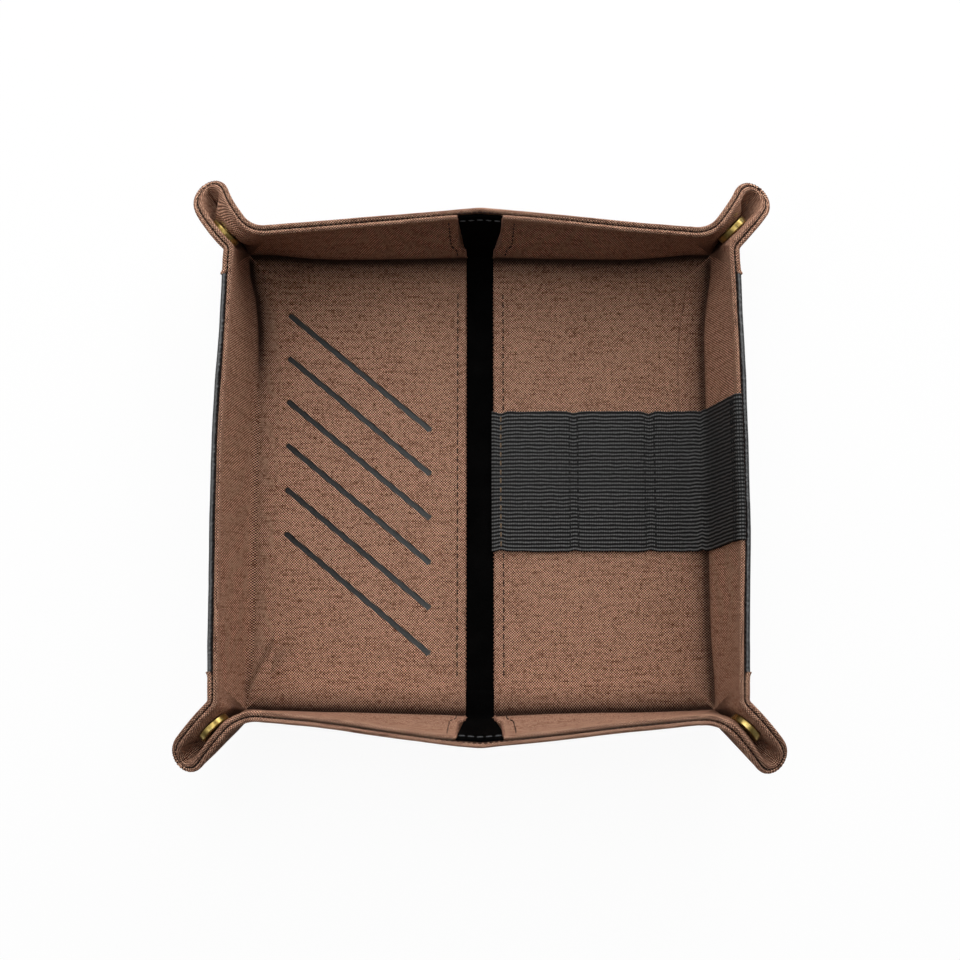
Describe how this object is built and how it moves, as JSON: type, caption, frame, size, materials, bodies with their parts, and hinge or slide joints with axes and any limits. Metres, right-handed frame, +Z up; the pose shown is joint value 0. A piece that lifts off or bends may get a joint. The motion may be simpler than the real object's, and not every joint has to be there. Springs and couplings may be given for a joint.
{
  "type": "valet tray",
  "caption": "Square fold-flat valet tray of brown woven fabric with pinched snap corners, a slit panel and an elastic organizer band across its floor.",
  "frame": {"origin": "centre of the underside, on the surface that the tray stands on", "axes": "+Z up; -Y is the front wall, nearest the viewer of the picture; +X is the right wall, which carries the elastic band's end"},
  "size_m": [0.2042, 0.1984, 0.0393],
  "materials": {
    "brown_weave": "matte two-tone weave",
    "black_pile": "short pile",
    "black_elastic": "ribbed",
    "black_leatherette": "semi-gloss grain",
    "slit_backing": "smooth satin",
    "stiffener_board": "plain",
    "brass": "polished, lightly tarnished"
  },
  "bodies": {
    "base": {"right_liner": "brown_weave", "left_liner": "brown_weave", "right_floor_board": "stiffener_board", "left_floor_board": "stiffener_board", "slit_backing": "slit_backing", "spine_strip": "black_pile", "base_cover": "black_leatherette", "base_cover_ends": "brown_weave", "organizer_band": "black_elastic"},
    "front_wall": {"front_right_liner": "brown_weave", "front_left_liner": "brown_weave", "front_right_board": "stiffener_board", "front_left_board": "stiffener_board", "front_spine_strip": "black_pile", "front_cover": "brown_weave"},
    "back_wall": {"back_right_liner": "brown_weave", "back_left_liner": "brown_weave", "back_right_board": "stiffener_board", "back_left_board": "stiffener_board", "back_spine_strip": "black_pile", "back_cover": "brown_weave"},
    "right_wall": {"right_wall_liner": "brown_weave", "right_wall_board": "stiffener_board", "right_wall_cover": "black_leatherette", "right_wall_cover_ends": "brown_weave", "organizer_band_end": "black_elastic"},
    "left_wall": {"left_wall_liner": "brown_weave", "left_wall_board": "stiffener_board", "left_wall_cover": "black_leatherette", "left_wall_cover_ends": "brown_weave"},
    "front_right_end_ear": {"front_right_ear_end_half": "brown_weave", "front_right_snap_cap": "brass", "front_right_snap_socket": "brass"},
    "front_right_side_ear": {"front_right_ear_side_half": "brown_weave", "front_right_snap_rivet": "brass", "front_right_snap_stud": "brass"},
    "front_right_fold": {"front_right_ear_fold": "brown_weave"},
    "front_left_end_ear": {"front_left_ear_end_half": "brown_weave", "front_left_snap_cap": "brass", "front_left_snap_socket": "brass"},
    "front_left_side_ear": {"front_left_ear_side_half": "brown_weave", "front_left_snap_rivet": "brass", "front_left_snap_stud": "brass"},
    "front_left_fold": {"front_left_ear_fold": "brown_weave"},
    "back_right_end_ear": {"back_right_ear_end_half": "brown_weave", "back_right_snap_cap": "brass", "back_right_snap_socket": "brass"},
    "back_right_side_ear": {"back_right_ear_side_half": "brown_weave", "back_right_snap_rivet": "brass", "back_right_snap_stud": "brass"},
    "back_right_fold": {"back_right_ear_fold": "brown_weave"},
    "back_left_end_ear": {"back_left_ear_end_half": "brown_weave", "back_left_snap_rivet": "brass", "back_left_snap_stud": "brass"},
    "back_left_side_ear": {"back_left_ear_side_half": "brown_weave", "back_left_snap_cap": "brass", "back_left_snap_socket": "brass"},
    "back_left_fold": {"back_left_ear_fold": "brown_weave"}
  },
  "joints": [
    {"name": "front_wall_fold", "type": "hinge", "parent": "base", "child": "front_wall", "pos_m": [0, -0.0804, 0.0032], "axis": [1, 0, 0], "range_deg": [0, 79]},
    {"name": "back_wall_fold", "type": "hinge", "parent": "base", "child": "back_wall", "pos_m": [0, 0.0804, 0.0032], "axis": [-1, 0, 0], "range_deg": [0, 79.05]},
    {"name": "right_wall_fold", "type": "hinge", "parent": "base", "child": "right_wall", "pos_m": [0.08, 0, 0.0032], "axis": [0, 1, 0], "range_deg": [0, 79.05]},
    {"name": "left_wall_fold", "type": "hinge", "parent": "base", "child": "left_wall", "pos_m": [-0.08, 0, 0.0032], "axis": [0, -1, 0], "range_deg": [0, 79.05]},
    {"name": "front_right_end_crease", "type": "hinge", "parent": "front_wall", "child": "front_right_end_ear", "pos_m": [0.07587, -0.08357, 0.0038], "axis": [0.1044, 0.052, 0.9932], "range_deg": [0, 38.46]},
    {"name": "front_right_side_crease", "type": "hinge", "parent": "right_wall", "child": "front_right_side_ear", "pos_m": [0.08316, -0.07625, 0.00265], "axis": [-0.1044, -0.052, -0.9932], "range_deg": [0, 46.24]},
    {"name": "front_right_ear_bend", "type": "hinge", "parent": "front_right_end_ear", "child": "front_right_fold", "pos_m": [0.08114, -0.08135, 0.00166], "axis": [-0.5611, 0.4496, -0.695], "range_deg": [0, 162.49], "deforming": ["front_right_ear_fold"]},
    {"name": "front_left_end_crease", "type": "hinge", "parent": "front_wall", "child": "front_left_end_ear", "pos_m": [-0.07587, -0.08357, 0.0038], "axis": [0.1044, -0.052, -0.9932], "range_deg": [0, 38.46]},
    {"name": "front_left_side_crease", "type": "hinge", "parent": "left_wall", "child": "front_left_side_ear", "pos_m": [-0.08316, -0.07625, 0.00265], "axis": [-0.1044, 0.052, 0.9932], "range_deg": [0, 46.24]},
    {"name": "front_left_ear_bend", "type": "hinge", "parent": "front_left_end_ear", "child": "front_left_fold", "pos_m": [-0.08114, -0.08135, 0.00166], "axis": [-0.5611, -0.4496, 0.695], "range_deg": [0, 162.49], "deforming": ["front_left_ear_fold"]},
    {"name": "back_right_end_crease", "type": "hinge", "parent": "back_wall", "child": "back_right_end_ear", "pos_m": [0.07587, 0.08357, 0.0038], "axis": [-0.1044, 0.052, -0.9932], "range_deg": [0, 38.46]},
    {"name": "back_right_side_crease", "type": "hinge", "parent": "right_wall", "child": "back_right_side_ear", "pos_m": [0.08316, 0.07625, 0.00265], "axis": [0.1044, -0.052, 0.9932], "range_deg": [0, 46.24]},
    {"name": "back_right_ear_bend", "type": "hinge", "parent": "back_right_end_ear", "child": "back_right_fold", "pos_m": [0.08114, 0.08135, 0.00166], "axis": [0.5611, 0.4496, 0.695], "range_deg": [0, 162.49], "deforming": ["back_right_ear_fold"]},
    {"name": "back_left_end_crease", "type": "hinge", "parent": "back_wall", "child": "back_left_end_ear", "pos_m": [-0.07587, 0.08357, 0.0038], "axis": [-0.1044, -0.052, 0.9932], "range_deg": [0, 38.46]},
    {"name": "back_left_side_crease", "type": "hinge", "parent": "left_wall", "child": "back_left_side_ear", "pos_m": [-0.08316, 0.07625, 0.00265], "axis": [0.1044, 0.052, -0.9932], "range_deg": [0, 46.24]},
    {"name": "back_left_ear_bend", "type": "hinge", "parent": "back_left_end_ear", "child": "back_left_fold", "pos_m": [-0.08114, 0.08135, 0.00166], "axis": [0.5611, -0.4496, -0.695], "range_deg": [0, 162.49], "deforming": ["back_left_ear_fold"]}
  ],
  "couplings": [
    {"joint": "back_wall_fold", "follows": "front_wall_fold", "ratio": 1},
    {"joint": "right_wall_fold", "follows": "front_wall_fold", "ratio": 1},
    {"joint": "left_wall_fold", "follows": "front_wall_fold", "ratio": 1},
    {"joint": "front_right_end_crease", "follows": "front_wall_fold", "ratio": 0.48617},
    {"joint": "front_right_side_crease", "follows": "front_wall_fold", "ratio": 0.58471},
    {"joint": "front_right_ear_bend", "follows": "front_wall_fold", "ratio": 2.0562},
    {"joint": "front_left_end_crease", "follows": "front_wall_fold", "ratio": 0.48617},
    {"joint": "front_left_side_crease", "follows": "front_wall_fold", "ratio": 0.58471},
    {"joint": "front_left_ear_bend", "follows": "front_wall_fold", "ratio": 2.0562},
    {"joint": "back_right_end_crease", "follows": "front_wall_fold", "ratio": 0.48617},
    {"joint": "back_right_side_crease", "follows": "front_wall_fold", "ratio": 0.58471},
    {"joint": "back_right_ear_bend", "follows": "front_wall_fold", "ratio": 2.0562},
    {"joint": "back_left_end_crease", "follows": "front_wall_fold", "ratio": 0.48617},
    {"joint": "back_left_side_crease", "follows": "front_wall_fold", "ratio": 0.58471},
    {"joint": "back_left_ear_bend", "follows": "front_wall_fold", "ratio": 2.0562}
  ]
}
